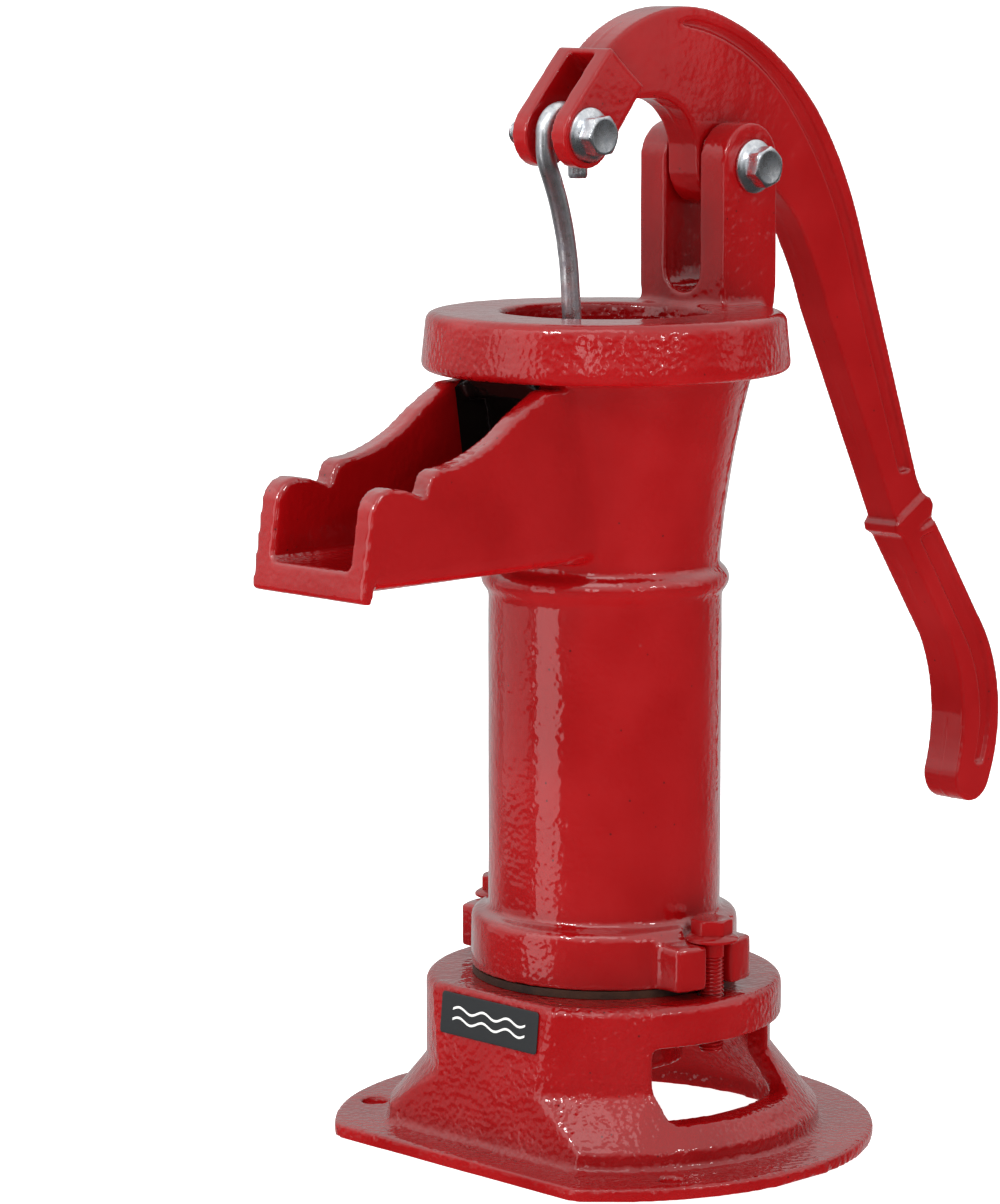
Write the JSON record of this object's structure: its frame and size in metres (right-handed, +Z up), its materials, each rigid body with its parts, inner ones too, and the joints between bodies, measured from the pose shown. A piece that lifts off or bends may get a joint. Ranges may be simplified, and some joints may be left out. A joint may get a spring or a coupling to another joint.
{
  "type": "hand well pump",
  "caption": "Cast-iron pitcher pump with a footed pedestal, an open spout, a swivel cap with a lever handle, a hooked rod and a cup-leather plunger.",
  "frame": {"origin": "on the pump's axis, at the underside of the foot", "axes": "+Z up along the cylinder, spout towards -X, handle towards +X, symmetric about the plane y = 0"},
  "size_m": [0.3829, 0.21, 0.4347],
  "materials": {
    "red_enamel": "glossy enamel over sand-cast iron",
    "black_label": "matt film",
    "oiled_leather": "oiled",
    "zinc_steel": "bright zinc plate",
    "galvanised_rod": "mottled zinc plate",
    "bare_cast_iron": "bare casting",
    "brass": "turned"
  },
  "bodies": {
    "pump_frame": {"base_pedestal": "red_enamel", "name_label": "black_label", "pump_body": "red_enamel", "flange_bolts": "red_enamel", "valve_leather": "oiled_leather"},
    "cap": {"top_cap": "red_enamel", "cap_set_screws": "zinc_steel", "fulcrum_bolt": "zinc_steel", "fulcrum_nut": "zinc_steel"},
    "lever": {"handle": "red_enamel", "clevis_bolt": "zinc_steel", "clevis_nut": "zinc_steel"},
    "rod": {"plunger_rod": "galvanised_rod", "rod_top_nut": "zinc_steel", "rod_end_nut": "zinc_steel"},
    "plunger": {"plunger_cage": "bare_cast_iron", "cup_leather": "oiled_leather", "plunger_follower": "bare_cast_iron"},
    "poppet": {"poppet_valve": "brass", "poppet_facing": "oiled_leather"},
    "flap": {"valve_flap": "oiled_leather", "flap_weight": "bare_cast_iron", "flap_screw": "brass", "flap_nut": "brass"}
  },
  "joints": [
    {"name": "cap_swivel", "type": "hinge", "parent": "pump_frame", "child": "cap", "pos_m": [0, 0, 0.311], "axis": [0, 0, 1], "range_deg": [-90, 90]},
    {"name": "handle_lift", "type": "hinge", "parent": "cap", "child": "lever", "pos_m": [0.0577, 0, 0.3736], "axis": [0, -1, 0], "range_deg": [-20.3, 39.7]},
    {"name": "hook_turn", "type": "hinge", "parent": "lever", "child": "rod", "pos_m": [-0.0242, 0, 0.3877], "axis": [0, -1, 0], "range_deg": [-40, 21]},
    {"name": "plunger_stroke", "type": "slide", "parent": "cap", "child": "plunger", "axis": [0, 0, 1], "range_m": [-0.0556, 0.0286]},
    {"name": "poppet_lift", "type": "slide", "parent": "plunger", "child": "poppet", "axis": [0, 0, 1], "range_m": [0, 0.005]},
    {"name": "flap_lift", "type": "hinge", "parent": "pump_frame", "child": "flap", "pos_m": [0.02338, 0, 0.067], "axis": [0, 1, 0], "range_deg": [0, 25]}
  ],
  "couplings": [
    {"joint": "hook_turn", "follows": "handle_lift", "ratio": -1},
    {"joint": "plunger_stroke", "follows": "handle_lift", "m_per_rad": -0.0799}
  ]
}
